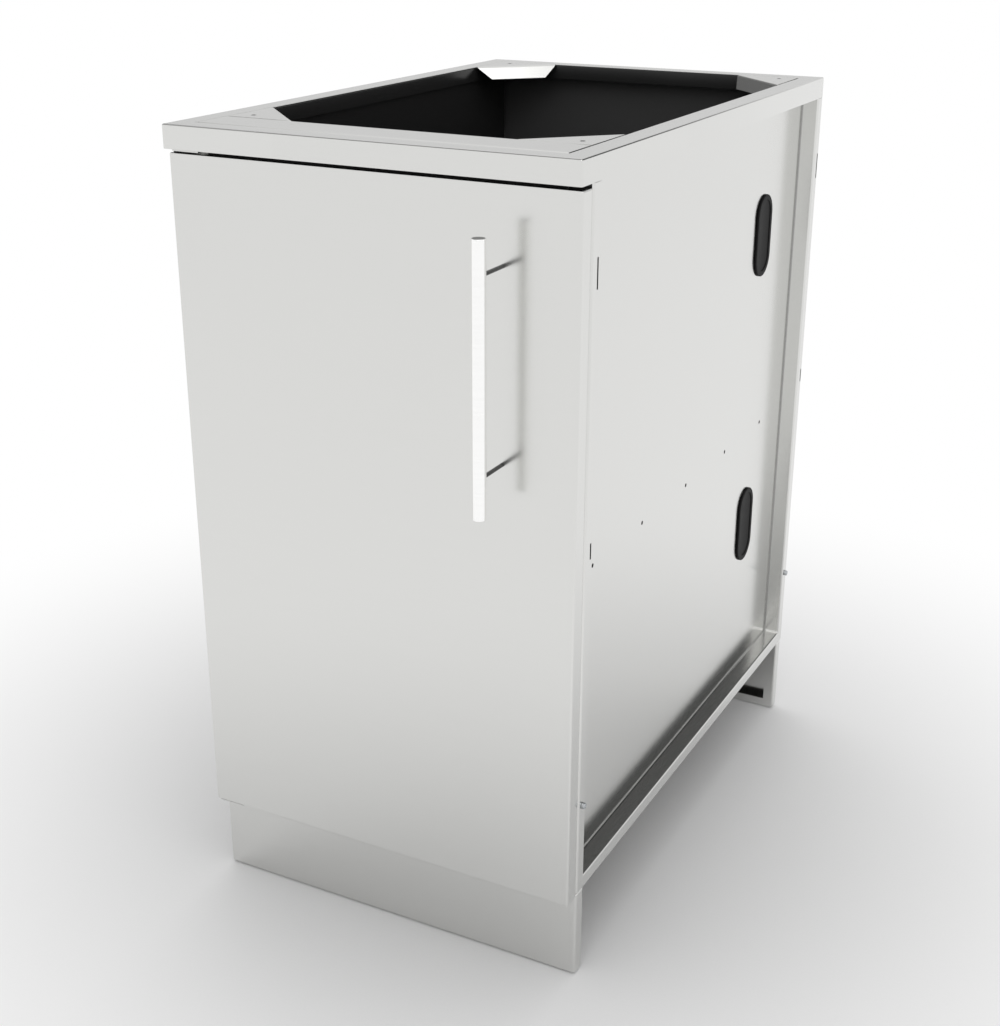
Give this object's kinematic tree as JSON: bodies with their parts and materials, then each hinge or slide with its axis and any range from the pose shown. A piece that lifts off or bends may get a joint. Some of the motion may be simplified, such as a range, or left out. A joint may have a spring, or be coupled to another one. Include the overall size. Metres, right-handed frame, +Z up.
{
  "type": "outdoor kitchen cabinet",
  "caption": "Base cabinet for an outdoor kitchen: folded stainless steel carcass with an open top, side-hung door with a vertical bar handle, recessed sides with plugged ports, toe kicks, feet.",
  "frame": {"origin": "middle of the overall outline, with the handle and the stud heads, at floor level", "axes": "+Z up, the door faces -Y, +X to the right as seen from the front"},
  "size_m": [0.4648, 0.7546, 0.8763],
  "materials": {
    "brushed_stainless": "brushed stainless sheet, grain along the length of each strip",
    "polished_stainless": "polished stainless bar",
    "fastener_steel": "plain steel hardware",
    "dark_rivet": "dark rivet",
    "black_rubber": "satin black rubber",
    "black_plastic": "matte black moulded plastic"
  },
  "bodies": {
    "cabinet": {"top_rim": "brushed_stainless", "front_ledge": "brushed_stainless", "gusset_front_left": "brushed_stainless", "gusset_front_right": "brushed_stainless", "gusset_rear_left": "brushed_stainless", "gusset_rear_right": "brushed_stainless", "side_panel_left": "brushed_stainless", "side_panel_right": "brushed_stainless", "back_panel": "brushed_stainless", "floor_panel": "brushed_stainless", "shelf": "brushed_stainless", "shelf_rail_left": "brushed_stainless", "shelf_rail_right": "brushed_stainless", "toe_kick_front": "brushed_stainless", "toe_kick_rear": "brushed_stainless", "joining_stud_left_front": "fastener_steel", "joining_stud_left_rear": "fastener_steel", "joining_stud_right_front": "fastener_steel", "joining_stud_right_rear": "fastener_steel", "pivot_bracket_upper": "fastener_steel", "pivot_bracket_lower": "fastener_steel", "pivot_pin_upper": "fastener_steel", "pivot_pin_lower": "fastener_steel", "catch_magnet": "fastener_steel", "shelf_rivet_left_1": "dark_rivet", "shelf_rivet_left_2": "dark_rivet", "shelf_rivet_left_3": "dark_rivet", "shelf_rivet_left_4": "dark_rivet", "shelf_rivet_left_5": "dark_rivet", "shelf_rivet_right_1": "dark_rivet", "shelf_rivet_right_2": "dark_rivet", "shelf_rivet_right_3": "dark_rivet", "shelf_rivet_right_4": "dark_rivet", "shelf_rivet_right_5": "dark_rivet", "port_plug_left_upper": "black_rubber", "port_plug_left_lower": "black_rubber", "port_plug_right_upper": "black_rubber", "port_plug_right_lower": "black_rubber", "leg_socket_front_left": "black_plastic", "leg_socket_front_right": "black_plastic", "leg_socket_rear_left": "black_plastic", "leg_socket_rear_right": "black_plastic", "catch_housing": "black_plastic"},
    "door": {"door_skin": "brushed_stainless", "door_liner": "brushed_stainless", "handle_bar": "polished_stainless", "handle_standoff_upper": "polished_stainless", "handle_standoff_lower": "polished_stainless", "handle_screw_upper": "fastener_steel", "handle_screw_lower": "fastener_steel", "pivot_bush_upper": "black_plastic", "pivot_bush_lower": "black_plastic", "catch_strike": "fastener_steel", "door_bumper_upper": "black_plastic", "door_bumper_lower": "black_plastic"},
    "foot_front_left": {"levelling_foot_front_left": "fastener_steel"},
    "foot_front_right": {"levelling_foot_front_right": "fastener_steel"},
    "foot_rear_left": {"levelling_foot_rear_left": "fastener_steel"},
    "foot_rear_right": {"levelling_foot_rear_right": "fastener_steel"}
  },
  "joints": [
    {"name": "door_hinge", "type": "hinge", "parent": "cabinet", "child": "door", "pos_m": [-0.2193, -0.31893, 0.4749], "axis": [0, 0, -1], "range_deg": [0, 110]},
    {"name": "foot_front_left_screw", "type": "slide", "parent": "cabinet", "child": "foot_front_left", "axis": [0, 0, -1], "range_m": [0, 0.02]},
    {"name": "foot_front_right_screw", "type": "slide", "parent": "cabinet", "child": "foot_front_right", "axis": [0, 0, -1], "range_m": [0, 0.02]},
    {"name": "foot_rear_left_screw", "type": "slide", "parent": "cabinet", "child": "foot_rear_left", "axis": [0, 0, -1], "range_m": [0, 0.02]},
    {"name": "foot_rear_right_screw", "type": "slide", "parent": "cabinet", "child": "foot_rear_right", "axis": [0, 0, -1], "range_m": [0, 0.02]}
  ]
}
